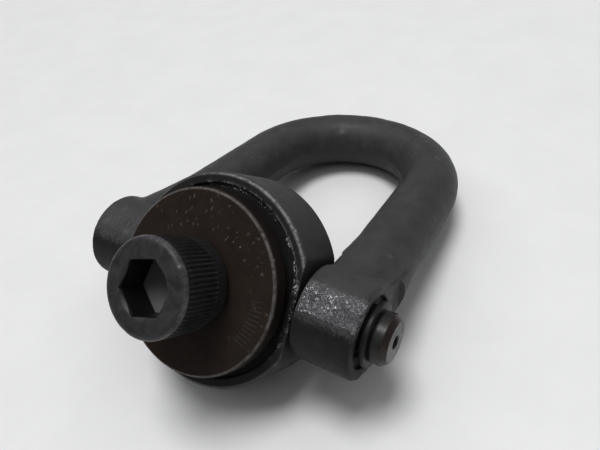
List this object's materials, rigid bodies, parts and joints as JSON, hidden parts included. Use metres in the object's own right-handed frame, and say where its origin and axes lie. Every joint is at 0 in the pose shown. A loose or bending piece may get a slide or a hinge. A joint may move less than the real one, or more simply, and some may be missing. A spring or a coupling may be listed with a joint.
{
  "type": "swivel hoist ring",
  "caption": "Swivel hoist ring: socket head bolt through a bushing and load washer, a turning body, and a forged bail on load pins.",
  "frame": {"origin": "On the bolt's axis, in the plane of the bushing's lower face, where the thread begins and the ring bears on the load.", "axes": "+Z runs along the bolt towards its head. X is the load pins' axis. The bail is stored folded past the mounting face, towards -Y and -Z."},
  "size_m": [0.0964, 0.0867, 0.1219],
  "materials": {
    "screw_steel": "black oxide, satin, knurled head",
    "washer_steel": "brown-black oxide, satin, with nicks on the rim",
    "body_steel": "dark grey oxide, turned, scratched edges",
    "forged_steel": "matte dark grey forging with a ground patch on the eyes",
    "pin_steel": "ground alloy steel, oiled, with rust on the chamfer",
    "spring_steel": "phosphated spring steel"
  },
  "bodies": {
    "swivel": {"swivel_body": "body_steel", "load_pin_left": "pin_steel", "load_pin_right": "pin_steel", "pin_retaining_ring_left": "spring_steel", "pin_retaining_ring_right": "spring_steel", "roll_pin_left": "spring_steel", "roll_pin_right": "spring_steel"},
    "bushing": {"flange_bushing": "washer_steel", "load_washer": "washer_steel"},
    "bolt": {"mounting_bolt": "screw_steel", "bolt_captive_ring": "spring_steel"},
    "bail": {"forged_bail": "forged_steel"}
  },
  "joints": [
    {"name": "bushing_swivel", "type": "hinge", "parent": "swivel", "child": "bushing", "pos_m": [0, 0, 0.01435], "axis": [0, 0, 1], "continuous": true},
    {"name": "bolt_spin", "type": "hinge", "parent": "bushing", "child": "bolt", "pos_m": [0, 0, 0.01435], "axis": [0, 0, 1], "continuous": true},
    {"name": "bail_pivot", "type": "hinge", "parent": "swivel", "child": "bail", "pos_m": [0, 0, 0.0134], "axis": [-1, 0, 0], "continuous": true}
  ]
}
